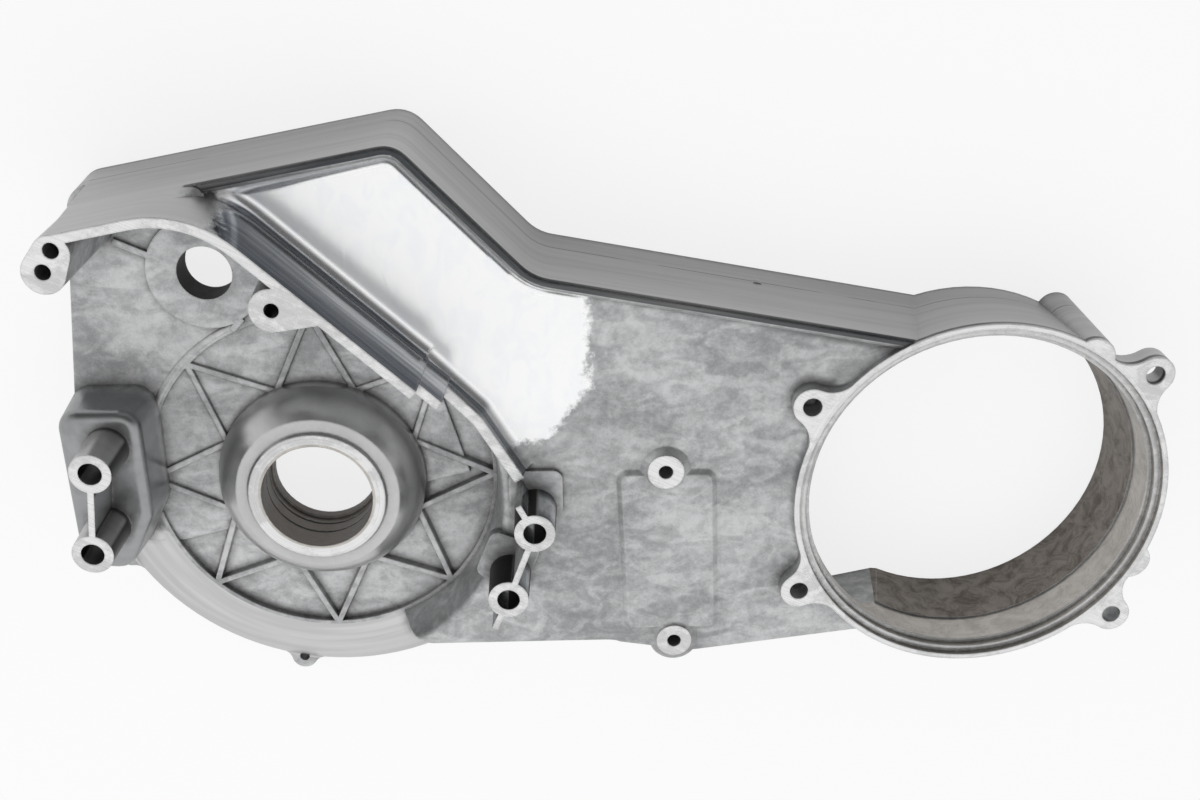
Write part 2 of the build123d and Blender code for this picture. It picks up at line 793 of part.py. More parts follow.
def cover():
    """The whole casting in the drawing frame."""
    base, top = block_outlines()
    web_base, web_head = web_outlines()
    body = block_between(base, top, plate_top, 0, plate_top) - disc_recess()
    body = fillet(lower_plate_edges(body), plate_edge_round)
    body += block_between(web_base, web_head, web_top, 0, web_top)
    body += bowl() - disc_recess()
    body += edge_boss()
    body += foot_fillets(base, top)
    body += mound()
    body += ring() + lip() + rim(base) + gasket_ears()
    body -= plate_hollow(base, top)
    body -= block_between(web_base, web_head, web_top, -overlap, web_top - floor_thickness, hollow_insets)
    body -= mound_hollow()
    body -= bowl_hollow()
    body += star_ribs()
    body += hub()
    body += disc(starter_flange_radius, web_top - wall_root, starter_flange_top, starter_x, starter_y)
    body += disc(starter_sleeve_radius, starter_sleeve_bottom, web_top, starter_x, starter_y)
    for start, end in web_ribs:
        body += straight_web(start, end, web_rib_width, web_top - overlap, starter_flange_top)
    for corners in (upper_pad, lower_pad):
        body += plate_pads(corners)
    body += long_pad()
    body += posts()
    boss_face = plate_top + plate_boss_height
    boss_foot = boss_face - plate_boss_hole_depth - plate_boss_floor
    for x, y in plate_bosses:
        body += disc(plate_boss_radius, boss_foot, boss_face, x, y)
    for x, y, height in screw_bosses():
        body += disc(flange_boss_radius, 0, height, x, y)
    body -= ring_bore()
    body -= hub_bore()
    body -= disc(starter_radius, 0, starter_flange_top + overlap, starter_x, starter_y)
    body -= screw_holes()
    return body


casting = cover()
box = casting.bounding_box()
casting = Pos(-box.center().X, -box.center().Y, -box.min.Z) * casting
os.makedirs("parts", exist_ok=True)
export_step(casting, "parts/cover_casting.step")
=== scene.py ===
import bpy
import math
from mathutils import Matrix, Vector


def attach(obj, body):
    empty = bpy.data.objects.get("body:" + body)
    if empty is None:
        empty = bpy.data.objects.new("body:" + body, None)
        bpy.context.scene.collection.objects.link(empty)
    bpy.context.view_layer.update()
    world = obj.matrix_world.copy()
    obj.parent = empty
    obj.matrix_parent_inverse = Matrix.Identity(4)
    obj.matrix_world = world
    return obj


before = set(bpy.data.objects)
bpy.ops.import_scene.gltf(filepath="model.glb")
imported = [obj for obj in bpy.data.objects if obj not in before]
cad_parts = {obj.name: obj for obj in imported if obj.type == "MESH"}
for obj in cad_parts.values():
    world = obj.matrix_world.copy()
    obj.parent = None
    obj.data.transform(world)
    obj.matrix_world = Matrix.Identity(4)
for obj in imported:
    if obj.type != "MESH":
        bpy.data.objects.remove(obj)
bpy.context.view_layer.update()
MM = 0.001

# The casting was measured about the engine axis, in millimetres; the frame's origin lies under its middle
ENGINE_X, ENGINE_Y = 177.15, -25.2888
CLUTCH_AXIS_X = -325.0

# Heights over the gasket face: machined faces first, then the plate, the rim round it and the web
LIP_TOP, STEP_TOP, POST_TOP, BAND_TOP, ENGINE_FACE = 100.0, 90.0, 87.0, 69.0, 66.0
PLATE_BOSS_TOP, HUB_FACE = 60.5, 52.0
MACHINED_LEVELS = (LIP_TOP, STEP_TOP, POST_TOP, BAND_TOP, ENGINE_FACE, PLATE_BOSS_TOP, HUB_FACE)
PLATE_TOP, RIM_TOP, WEB_TOP = 57.5, 64.5, 26.5
RIM_ROUND, WALL_DRAFT = 1.8, 2.2

# Radii about the engine axis, and the height where the machined part of the bore ends
REGISTER_RADIUS, CAST_BORE_RADIUS, CAST_BORE_TOP = 89.2, 83.0, 39.9

# Radii about the clutch axis: bore, foot of the dome, near edge of the plate and the band of the bowl
HUB_BORE_RADIUS, DOME_RADIUS, PLATE_EDGE_RADIUS, BOWL_BAND_RADII = 28.6, 54.0, 91.9, (87.6, 122.0)

# Starter hole, posts, and the outer line and arc centre of the tall wall
STARTER_AXIS, STARTER_RADIUS = (-371.4, 107.3), 13.4
POST_AXES = ((-420.6, 31.1), (-426.0, -10.9), (-217.6, -3.3), (-231.2, -39.4))
LIP_LINE, LIP_CENTRE, LIP_ARC_RADIUS = ((-357.4, 158.7), (-267.5, 75.4)), (-373.7, 106.9), 51.5

# Upper outline of the casting, from the tail over the hump and the valley to the engine ring
TAIL, HUMP, VALLEY, RING_SIDE = (-430.5, 148.4), (-273.6, 178.3), (-214.6, 117.6), (-20.0, 81.8)

# Limits of the mirror polish on the plate: a slanting line, a right side and a lower side
POLISH_LINE, POLISH_RIGHT, POLISH_LOWER = ((-197.0, 50.0), (-213.0, 30.0)), -190.0, 29.0

# Rays for the corner and edge shading nodes
PROBE_RAYS = 3

# Colours
CAST_DARK, CAST_LIGHT = (0.32, 0.325, 0.33, 1.0), (0.64, 0.645, 0.65, 1.0)
# The mound's grey is darker than the cast skin, as painted shade
MOUND_SHADE_GREY, SMOKE_GREY = (0.28, 0.285, 0.29, 1.0), (0.20, 0.20, 0.205, 1.0)
# Stain colours of the cast wall in the engine bore, kept dark as painted shade of the hollow
CAST_BORE_LIGHT, CAST_BORE_DARK = (0.30, 0.275, 0.25, 1.0), (0.13, 0.11, 0.095, 1.0)
BORE_TAN, BORE_STAIN = (0.56, 0.53, 0.49, 1.0), (0.24, 0.21, 0.18, 1.0)
# Dark brown for painted shade on the walls of the hub bore
HUB_BORE_SHADE_BROWN = (0.12, 0.105, 0.095, 1.0)
# Faint blue for a painted reflection in the mirror's ripples
MIRROR_WHITE, MIRROR_BLUE_REFLECTION = (0.95, 0.95, 0.95, 1.0), (0.90, 0.915, 0.94, 1.0)
# Navy and pale grey for painted dark and bright reflections on the polished wall
POLISH_DARK_REFLECTION, POLISH_BRIGHT_REFLECTION = (0.055, 0.068, 0.09, 1.0), (0.66, 0.68, 0.70, 1.0)
# Brown for painted shade in inside corners
# Near black for a painted dark reflection on the rim
RIM_DARK_REFLECTION, CORNER_SHADE_BROWN = (0.05, 0.055, 0.06, 1.0), (0.085, 0.08, 0.075, 1.0)


def from_engine(x, y, z):
    """Point in the frame, from millimetres about the engine axis."""
    return Vector(((ENGINE_X + x) * MM, (ENGINE_Y + y) * MM, z * MM))


def grey(value):
    """Plain grey colour."""
    return (value, value, value, 1.0)


class Tree:
    """Adds and links shader nodes in one node tree."""

    def __init__(self, tree):
        self.tree = tree

    def set(self, socket, value):
        if isinstance(value, bpy.types.NodeSocket):
            self.tree.links.new(value, socket)
        else:
            socket.default_value = value

    def node(self, kind, values=None, **settings):
        made = self.tree.nodes.new(kind)
        for name, value in settings.items():
            setattr(made, name, value)
        for name, value in (values or {}).items():
            self.set(made.inputs[name], value)
        return made

    def group(self, tree, values):
        """Places a shader group and returns its outputs."""
        made = self.tree.nodes.new("ShaderNodeGroup")
        made.node_tree = tree
        made.label = tree.name
        for name, value in values.items():
            self.set(made.inputs[name], value)
        return made.outputs

    def math(self, operation, a, b=0.0, c=0.0, clamp=False):
        values = {0: a, 1: b, 2: c}
        return self.node("ShaderNodeMath", values, operation=operation, use_clamp=clamp).outputs[0]

    def highest(self, first, *others):
        for other in others:
            first = self.math("MAXIMUM", first, other)
        return first

    def product(self, first, *others):
        for other in others:
            first = self.math("MULTIPLY", first, other)
        return first

    def inverse(self, value):
        return self.math("SUBTRACT", 1.0, value, clamp=True)

    def vector(self, operation, a, b=(0, 0, 0)):
        made = self.node("ShaderNodeVectorMath", {0: a, 1: b}, operation=operation)
        scalar = operation in ("LENGTH", "DOT_PRODUCT", "DISTANCE")
        return made.outputs["Value" if scalar else "Vector"]

    def scaled(self, vector, scale):
        return self.node("ShaderNodeVectorMath", {0: vector, "Scale": scale}, operation="SCALE").outputs[0]

    def ramp(self, value, low, high, to_low=0.0, to_high=1.0):
        made = self.node(
            "ShaderNodeMapRange",
            {"Value": value, "From Min": low, "From Max": high, "To Min": to_low, "To Max": to_high},
            interpolation_type="SMOOTHSTEP",
        )
        return made.outputs["Result"]

    def band(self, value, low, high, edge):
        """1 between two limits, with soft edges."""
        return self.product(
            self.ramp(value, low - edge, low + edge),
            self.ramp(value, high - edge, high + edge, 1.0, 0.0),
        )

    def noise(self, vector, scale, detail=3.0, roughness=0.5, distortion=0.0):
        values = {"Vector": vector, "Scale": scale, "Detail": detail, "Roughness": roughness}
        values["Distortion"] = distortion
        return self.node("ShaderNodeTexNoise", values).outputs["Fac"]

    def blend(self, kind, result, share, a, b):
        made = self.node("ShaderNodeMix", data_type=kind)
        named = {socket.identifier: socket for socket in made.inputs}
        self.set(named["Factor_Float"], share)
        self.set(named["A_" + result], a)
        self.set(named["B_" + result], b)
        return next(socket for socket in made.outputs if socket.identifier == "Result_" + result)

    def mix(self, share, a, b):
        return self.blend("FLOAT", "Float", share, a, b)

    def mix_color(self, share, a, b):
        return self.blend("RGBA", "Color", share, a, b)


def shader_group(name, inputs, outputs):
    """Empty shader group; returns the group, its tree and the sockets to read from and write to."""
    group = bpy.data.node_groups.new(name, "ShaderNodeTree")
    for socket, kind, value in inputs:
        made = group.interface.new_socket(socket, in_out="INPUT", socket_type="NodeSocket" + kind)
        if value is not None:
            made.default_value = value
    for socket, kind in outputs:
        group.interface.new_socket(socket, in_out="OUTPUT", socket_type="NodeSocket" + kind)
    t = Tree(group)
    return group, t, t.node("NodeGroupInput").outputs, t.node("NodeGroupOutput").inputs


def cast_skin_group():
    """Skin of a die casting: clouds, flow swirls, mottling, pits and a fine grain."""
    group, t, give, out = shader_group(
        "cast skin",
        [("Place", "Vector", None)],
        [("Tone", "Float"), ("Pits", "Float"), ("Relief", "Float")],
    )
    place = give["Place"]
    clouds = t.ramp(t.noise(place, 0.018, 3.0, 0.5, 0.3), 0.3, 0.7)
    stretched = t.vector("MULTIPLY", place, (1.0, 1.7, 1.0))
    swirls = t.ramp(t.noise(stretched, 0.055, 3.0, 0.5, 1.3), 0.34, 0.7)
    mottle = t.noise(place, 0.28, 3.0, 0.6)
    grain = t.noise(place, 1.05, 4.0, 0.78)
    tone = t.math("MULTIPLY", clouds, 0.36)
    tone = t.math("MULTIPLY_ADD", swirls, 0.30, tone)
    tone = t.math("MULTIPLY_ADD", t.ramp(mottle, 0.3, 0.7), 0.18, tone)
    tone = t.math("MULTIPLY_ADD", t.ramp(grain, 0.3, 0.7), 0.16, tone)
    pits = t.product(t.ramp(grain, 0.36, 0.28), t.ramp(mottle, 0.5, 0.4))
    t.set(out["Tone"], tone)
    t.set(out["Pits"], pits)
    t.set(out["Relief"], t.math("MULTIPLY_ADD", mottle, 1.4, grain))
    return group


def strokes_group():
    """Fine parallel strokes of a belt, a buff or a cutter; they run where Across stays the same."""
    group, t, give, out = shader_group(
        "strokes",
        [("Place", "Vector", None), ("Across", "Float", 0.0), ("Spacing", "Float", 1.0)],
        [("Fine", "Float"), ("Broad", "Float")],
    )
    step = t.math("DIVIDE", give["Across"], give["Spacing"])
    slow_step = t.math("MULTIPLY", step, 0.13)
    fine = t.vector("ADD", t.scaled(give["Place"], 0.022), t.scaled((0.9, 0.3, 0.3), step))
    broad = t.vector("ADD", t.scaled(give["Place"], 0.010), t.scaled((0.3, 0.1, 0.9), slow_step))
    t.set(out["Fine"], t.noise(fine, 1.0, 2.0, 0.6))
    t.set(out["Broad"], t.noise(broad, 1.0, 3.0, 0.6))
    return group


def corner_shade_group():
    """Painted shade in inside corners, found by an occlusion probe, and how open the surface lies."""
    group, t, give, out = shader_group(
        "corner dirt",
        [("Reach", "Float", 0.004), ("Place", "Vector", None)],
        [("Mask", "Float"), ("Open", "Float")],
    )
    free = t.node("ShaderNodeAmbientOcclusion", {"Distance": give["Reach"]}, samples=PROBE_RAYS).outputs["AO"]
    broken = t.noise(give["Place"], 0.35, 3.0, 0.65)
    closed = t.ramp(free, 0.92, 0.45)
    t.set(out["Mask"], t.product(closed, t.ramp(broken, 0.25, 0.6, 0.55, 1.0)))
    t.set(out["Open"], free)
    return group


def edge_wear_group():
    """Outside edges rubbed bright, and the softened normal of such edges."""
    group, t, give, out = shader_group(
        "edge wear",
        [("Radius", "Float", 0.0008), ("Open", "Float", 1.0), ("Place", "Vector", None)],
        [("Mask", "Float"), ("Normal", "Vector")],
    )
    soft = t.node("ShaderNodeBevel", {"Radius": give["Radius"]}, samples=PROBE_RAYS).outputs[0]
    straight = t.node("ShaderNodeNewGeometry").outputs["Normal"]
    turned = t.ramp(t.vector("DOT_PRODUCT", soft, straight), 0.995, 0.9)
    broken = t.ramp(t.noise(give["Place"], 0.5, 3.0, 0.7), 0.35, 0.6, 0.3, 1.0)
    t.set(out["Mask"], t.product(turned, t.ramp(give["Open"], 0.8, 0.98), broken))
    t.set(out["Normal"], soft)
    return group


def inward(t, place, start, end):
    """Distance in millimetres to the right of a line, as it runs from start to end."""
    along = Vector((end[0] - start[0], end[1] - start[1])).normalized()
    normal = (along.y, -along.x, 0.0)
    offset = normal[0] * start[0] + normal[1] * start[1]
    return t.math("SUBTRACT", t.vector("DOT_PRODUCT", place, normal), offset)


class Surface:
    """Place on the casting in millimetres about the engine axis, and which way the surface faces."""

    def __init__(self, t):
        own = t.node("ShaderNodeTexCoord").outputs
        self.place = t.vector("SUBTRACT", t.scaled(own["Object"], 1 / MM), (ENGINE_X, ENGINE_Y, 0.0))
        split = t.node("ShaderNodeSeparateXYZ", {0: self.place}).outputs
        self.x, self.y, self.z = split[0], split[1], split[2]
        self.normal = own["Normal"]
        facing = t.node("ShaderNodeSeparateXYZ", {0: self.normal}).outputs
        self.facing_y, self.up = facing[1], facing[2]
        self.flat = t.vector("MULTIPLY", self.place, (1, 1, 0))
        self.engine_radius = t.vector("LENGTH", self.flat)
        self.clutch_radius = t.vector("DISTANCE", self.flat, (CLUTCH_AXIS_X, 0, 0))
        self.level = t.ramp(self.up, 0.985, 0.995)
        self.upright = t.ramp(t.math("ABSOLUTE", self.up), 0.45, 0.25)
        self.ragged = t.math("SUBTRACT", t.noise(self.place, 0.12, 5.0, 0.7), 0.5)
        beyond_hump = t.highest(
            inward(t, self.place, HUMP, VALLEY),
            inward(t, self.place, VALLEY, RING_SIDE),
        )
        self.inset = t.math("MINIMUM", inward(t, self.place, TAIL, HUMP), beyond_hump)


def machined_masks(t, s):
    """Machined faces with the bores, the bores alone, and the hub bore alone."""
    faces = 0.0
    for height in MACHINED_LEVELS:
        faces = t.highest(t.math("COMPARE", s.z, height, 0.15), faces)
    ring_steps = t.product(
        t.ramp(s.engine_radius, REGISTER_RADIUS, REGISTER_RADIUS - 0.2),
        t.ramp(s.z, PLATE_TOP, PLATE_TOP + 1.0),
    )
    faces = t.product(t.highest(faces, ring_steps), s.level)
    engine_bore = t.product(
        t.band(s.engine_radius, CAST_BORE_RADIUS, REGISTER_RADIUS, 0.1),
        s.upright,
        t.ramp(s.z, CAST_BORE_TOP - 0.2, CAST_BORE_TOP + 0.2),
    )
    hub_bore = t.product(
        t.math("LESS_THAN", s.clutch_radius, HUB_BORE_RADIUS),
        t.math("LESS_THAN", s.z, HUB_FACE + 1.0),
    )
    bores = t.highest(engine_bore, hub_bore)
    return t.highest(faces, gasket_face(t, s), bores), bores, hub_bore


def gasket_face(t, s):
    """Face that the casting lies on."""
    return t.math("LESS_THAN", s.z, 0.2)


def polish_reach(t, s):
    """How far inside the limits of the mirror polish a place lies."""
    reach = t.math("MINIMUM", inward(t, s.place, *POLISH_LINE), t.math("SUBTRACT", POLISH_RIGHT, s.x))
    return t.math("MINIMUM", reach, t.math("SUBTRACT", s.y, POLISH_LOWER))


def plate_mask(t, s):
    """Levels of the plate, under the top of the rim."""
    return t.product(
        t.ramp(s.z, PLATE_TOP - 2.0, PLATE_TOP - 0.5),
        t.ramp(s.z, RIM_TOP - 0.9, RIM_TOP - 1.6),
    )


def panel_mask(t, s, reach):
    """Mirror polish on the near end of the plate, up to a ragged edge."""
    inside_lip = t.product(
        t.ramp(inward(t, s.place, *LIP_LINE), 1.0, 2.0),
        t.band(s.x, -357.0, -268.0, 1.0),
    )
    from_arc = t.vector("DISTANCE", s.flat, (*LIP_CENTRE, 0))
    inside_lip = t.highest(inside_lip, t.ramp(from_arc, LIP_ARC_RADIUS - 1.0, LIP_ARC_RADIUS - 2.0))
    return t.product(
        t.ramp(t.math("MULTIPLY_ADD", s.ragged, 22.0, reach), -1.5, 3.5),
        plate_mask(t, s),
        t.ramp(s.inset, 4.0, 6.0),
        t.ramp(s.x, -385.0, -380.0),
        t.ramp(s.clutch_radius, PLATE_EDGE_RADIUS - 0.3, PLATE_EDGE_RADIUS + 0.3),
        t.inverse(inside_lip),
    )


def lip_side_mask(t, s):
    """Outer side of the tall wall, polished on its slanting run."""
    slant = Vector((0.6797, 0.7335, 0.0))
    return t.product(
        t.ramp(t.vector("DOT_PRODUCT", s.normal, slant), 0.75, 0.9),
        t.ramp(s.z, PLATE_TOP - 1.0, PLATE_TOP + 1.0),
        t.ramp(t.math("MULTIPLY_ADD", s.ragged, 24.0, s.x), -353.0, -346.0),
        t.band(s.clutch_radius, 60.0, 165.0, 5.0),
        t.ramp(s.inset, 4.0, 6.0),
    )


def brushed_masks(t, s):
    """Brushed rim, outer wall and band of the bowl."""
    rim = t.product(
        t.ramp(s.inset, 7.2, 6.6),
        t.ramp(s.z, RIM_TOP - 2.4, RIM_TOP - 1.8),
        t.ramp(s.z, RIM_TOP + 0.6, RIM_TOP + 0.3),
        t.ramp(s.facing_y, -0.5, -0.2),
        t.ramp(s.x, -367.5, -365.5),
    )
    lip_arc = t.product(
        t.ramp(s.x, -338.0, -342.0),
        t.ramp(s.facing_y, 0.3, 0.5),
        t.ramp(s.z, PLATE_TOP + 0.5, PLATE_TOP + 4.5),
    )
    outer_wall = t.product(t.highest(t.ramp(s.inset, 7.0, 5.0), lip_arc), s.upright)
    bowl_band = t.product(
        t.band(s.clutch_radius, *BOWL_BAND_RADII, 0.2),
        t.ramp(s.z, WEB_TOP + 2.0, WEB_TOP + 1.4),
        t.ramp(s.z, 8.6, 9.2),
        t.ramp(s.y, -28.0, -32.0),
        t.ramp(s.up, 0.2, 0.4),
    )
    return rim, outer_wall, bowl_band


def stroke_direction(t, s, rim, bowl_band):
    """Value that stays the same along a stroke: along walls, round bores, slantwise over other faces."""
    across = t.mix(s.level, s.z, t.vector("DOT_PRODUCT", s.place, (0.42, 0.91, 0.0)))
    across = t.mix(rim, across, s.inset)
    across = t.mix(t.product(t.ramp(s.engine_radius, 92.6, 92.0), s.level), across, s.engine_radius)
    across = t.mix(t.product(t.ramp(s.clutch_radius, 37.0, 36.0), s.level), across, s.clutch_radius)
    return t.mix(bowl_band, across, s.clutch_radius)


def post_wall_shade_mask(t, s):
    """Painted shade, near black, on the walls of the posts and of the starter bore."""
    from_starter = t.vector("DISTANCE", s.flat, (*STARTER_AXIS, 0))
    wall_shade = t.product(t.ramp(from_starter, STARTER_RADIUS, STARTER_RADIUS - 0.3), s.upright)
    post_height = t.ramp(s.z, PLATE_TOP - 4.0, PLATE_TOP + 4.0)
    for axis in POST_AXES:
        near = t.ramp(t.vector("DISTANCE", s.flat, (*axis, 0)), 13.0, 11.0)
        wall_shade = t.highest(t.product(near, s.upright, post_height), wall_shade)
    return wall_shade


def cast_color(t, s, skin, dome, mound, smoke, stain):
    """Cast skin with smoke, painted shade on the mound and on the walls of the posts and starter bore, and
    the stained cast part of the engine bore, darker as painted shade.
    """
    color = t.mix_color(t.ramp(skin["Tone"], 0.05, 0.95), CAST_DARK, CAST_LIGHT)
    color = t.mix_color(t.product(skin["Pits"], 0.6), color, grey(0.14))
    color = t.mix_color(t.product(dome, 0.8), color, grey(0.55))
    # Painted shade: the mound darker than the cast skin
    color = t.mix_color(t.product(mound, 0.8), color, MOUND_SHADE_GREY)
    color = t.mix_color(t.product(smoke, 0.4), color, SMOKE_GREY)
    # Painted shade: the walls of the posts and of the starter bore near black
    color = t.mix_color(post_wall_shade_mask(t, s), color, grey(0.035))
    # The cast wall inside the engine bore: a stain pattern, darker and browner than the cast skin as painted
    # shade of the hollow
    cast_bore = t.product(
        t.ramp(s.engine_radius, CAST_BORE_RADIUS + 0.2, CAST_BORE_RADIUS),
        t.ramp(s.z, CAST_BORE_TOP + 0.2, CAST_BORE_TOP - 0.2),
        t.inverse(gasket_face(t, s)),
        s.upright,
    )
    return t.mix_color(cast_bore, color, t.mix_color(stain, CAST_BORE_LIGHT, CAST_BORE_DARK))


def satin_color(t, s, rim, outer_wall, bowl_band, fine, streaks):
    """Brushed walls, painted lighter toward their tops, the lighter band of the bowl, the rim painted with a
    dark reflection, and the parting line.
    """
    satin = t.mix_color(streaks, grey(0.38), grey(0.47))
    satin = t.mix_color(t.product(t.ramp(fine, 0.3, 0.7), 0.35), satin, grey(0.56))
    # Painted light: the brushed walls lighter toward their tops
    satin = t.mix_color(t.product(t.ramp(s.z, 42.0, 60.0), 0.3), satin, grey(0.60))
    satin = t.mix_color(bowl_band, satin, t.mix_color(streaks, grey(0.52), grey(0.63)))
    # Painted reflection: the rim near black, with brushed streaks
    satin = t.mix_color(rim, satin, t.mix_color(streaks, RIM_DARK_REFLECTION, grey(0.17)))
    broken = t.ramp(t.noise(s.place, 0.02), 0.4, 0.5)
    parting = t.product(t.band(s.z, 19.4, 20.2, 0.25), outer_wall, broken)
    return t.mix_color(t.product(parting, 0.8), satin, grey(0.08))


def bright_color(t, s, skin, bores, hub_bore, fine, stain):
    """Machined metal with smudges and pits, the stained bores, and painted shade on the walls of the hub
    bore.
    """
    bright = t.mix_color(t.ramp(fine, 0.25, 0.75), grey(0.68), grey(0.84))
    bright = t.mix_color(t.ramp(skin["Tone"], 0.58, 0.25, 0.0, 0.5), bright, grey(0.42))
    bright = t.mix_color(t.product(skin["Pits"], 0.45), bright, grey(0.24))
    stained = t.mix_color(t.product(stain, 0.6), BORE_TAN, BORE_STAIN)
    bright = t.mix_color(t.product(bores, 0.85), bright, stained)
    # Painted shade: the walls of the hub bore dark brown
    return t.mix_color(t.product(hub_bore, s.upright, 0.8), bright, HUB_BORE_SHADE_BROWN)


def mirror_color(t, s, lip_side, ripples, broad, streaks):
    """Polished panel with faint blue painted in its ripples as reflection, and the polished wall painted with
    a dark navy reflection and a streaky band of bright reflection.
    """
    # Painted reflection: faint blue in the ripples of the mirror
    mirror = t.mix_color(t.ramp(ripples, 0.4, 0.7), MIRROR_WHITE, MIRROR_BLUE_REFLECTION)
    # Painted reflection: a streaky bright band at mid height of the polished wall, a little lighter low down,
    # on dark navy
    reflection_band = t.product(
        t.band(s.z, 68.0, 82.0, 5.0),
        t.ramp(s.x, -345.0, -285.0),
        t.ramp(broad, 0.3, 0.62, 0.45, 1.15),
    )
    painted_reflection = t.math("ADD", reflection_band, t.ramp(s.z, 98.0, 70.0, -0.1, 0.12))
    painted_reflection = t.math("MULTIPLY_ADD", streaks, 0.3, painted_reflection, clamp=True)
    return t.mix_color(lip_side, mirror, t.mix_color(painted_reflection, POLISH_DARK_REFLECTION, POLISH_BRIGHT_REFLECTION))


def cast_alloy():
    """Aluminium casting: as cast, with its polished, brushed and machined parts told apart by place."""
    material = bpy.data.materials.new("cast_alloy")
    material.use_nodes = True
    material.node_tree.nodes.clear()
    t = Tree(material.node_tree)
    s = Surface(t)

    # Where each finish lies
    machined, bores, hub_bore = machined_masks(t, s)
    reach = polish_reach(t, s)
    panel = panel_mask(t, s, reach)
    lip_side = lip_side_mask(t, s)
    polished = t.highest(panel, lip_side)
    mirror_face = t.product(panel, s.level)
    rim, outer_wall, bowl_band = brushed_masks(t, s)
    brushed = t.highest(rim, outer_wall, bowl_band)
    dome = t.product(t.ramp(s.clutch_radius, DOME_RADIUS + 3.0, DOME_RADIUS), t.ramp(s.z, 25.5, 27.5))
    mound = t.product(t.ramp(s.x, -398.0, -402.0), t.ramp(s.y, 58.0, 54.0), t.ramp(s.z, 30.0, 38.0))
    smoke = t.product(
        t.ramp(reach, -55.0, -4.0),
        t.ramp(t.noise(s.place, 0.045, 4.0, 0.6, 1.2), 0.4, 0.7),
        plate_mask(t, s),
    )

    # Patterns, wear and painted corner shade
    across = stroke_direction(t, s, rim, bowl_band)
    strokes = t.group(strokes_group(), {"Place": s.place, "Across": across, "Spacing": 0.7})
    fine, broad = strokes["Fine"], strokes["Broad"]
    streaks = t.ramp(broad, 0.3, 0.7)
    stain = t.ramp(t.noise(s.place, 0.09, 5.0, 0.75, 0.8), 0.35, 0.7)
    ripples = t.noise(t.vector("MULTIPLY", s.place, (1.0, 0.55, 1.0)), 0.11, 2.0, 0.5, 1.2)
    skin = t.group(cast_skin_group(), {"Place": s.place})
    corners = t.group(corner_shade_group(), {"Place": s.place, "Reach": 5.0 * MM})
    wear = t.group(edge_wear_group(), {"Place": s.place, "Radius": 1.3 * MM, "Open": corners["Open"]})
    painted_shade = corners["Mask"]

    # Colour
    color = cast_color(t, s, skin, dome, mound, smoke, stain)
    color = t.mix_color(brushed, color, satin_color(t, s, rim, outer_wall, bowl_band, fine, streaks))
    color = t.mix_color(machined, color, bright_color(t, s, skin, bores, hub_bore, fine, stain))
    color = t.mix_color(polished, color, mirror_color(t, s, lip_side, ripples, broad, streaks))
    # Painted shade: dark brown in inside corners, weaker on the polished parts
    color = t.mix_color(t.product(painted_shade, t.mix(polished, 0.75, 0.3)), color, CORNER_SHADE_BROWN)
    color = t.mix_color(t.product(wear["Mask"], 0.55), color, grey(0.78))

    # Roughness
    rough = t.mix(skin["Tone"], 0.58, 0.44)
    rough = t.mix(t.highest(dome, mound), rough, 0.28)
    rough = t.mix(brushed, rough, t.mix(fine, 0.26, 0.40))
    rough = t.mix(machined, rough, t.mix(fine, 0.22, 0.36))
    rough = t.mix(polished, rough, t.mix(mirror_face, 0.11, 0.20))
    rough = t.mix(painted_shade, rough, 0.6)

    # Relief in millimetres
    smooth = t.highest(brushed, machined, polished)
    relief = t.product(skin["Relief"], t.mix(smooth, 0.035, 0.0))
    relief = t.math("MULTIPLY_ADD", fine, t.product(t.highest(brushed, machined), 0.006), relief)
    relief = t.math("MULTIPLY_ADD", ripples, t.product(panel, 0.05), relief)
    relief = t.math("MULTIPLY_ADD", broad, t.product(lip_side, 0.03), relief)
    bump = t.node(
        "ShaderNodeBump",
        {"Strength": 1.0, "Distance": MM, "Height": relief, "Normal": wear["Normal"]},
    )
    metallic = t.mix(mirror_face, 0.92, 0.62)
    shader = t.node(
        "ShaderNodeBsdfPrincipled",
        {"Base Color": color, "Metallic": metallic, "Roughness": rough, "Normal": bump.outputs[0]},
    )
    t.node("ShaderNodeOutputMaterial", {"Surface": shader.outputs[0]})
    return material


def sheet(name, rows, material):
    """Smooth visual piece in the casting's own metal, from rows of points that run side by side."""
    points = [point for row in rows for point in row]
    width = len(rows[0])
    faces = []
    for row in range(len(rows) - 1):
        for column in range(width - 1):
            corner = row * width + column
            faces.append((corner, corner + 1, corner + 1 + width, corner + width))
    mesh = bpy.data.meshes.new(name)
    mesh.from_pydata(points, [], faces)
    mesh.shade_smooth()
    mesh.materials.append(material)
    piece = bpy.data.objects.new(name, mesh)
    bpy.context.scene.collection.objects.link(piece)
    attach(piece, "root")


def wall_point(x, inset, z):
    """Point on the upper wall between the tail and the hump, set in from its drafted face."""
    along = (Vector(HUMP) - Vector(TAIL)).normalized()
    depth = inset + z * math.tan(math.radians(WALL_DRAFT))
    y = TAIL[1] + (x - TAIL[0]) * along.y / along.x
    return from_engine(x + depth * along.y, y - depth * along.x, z)


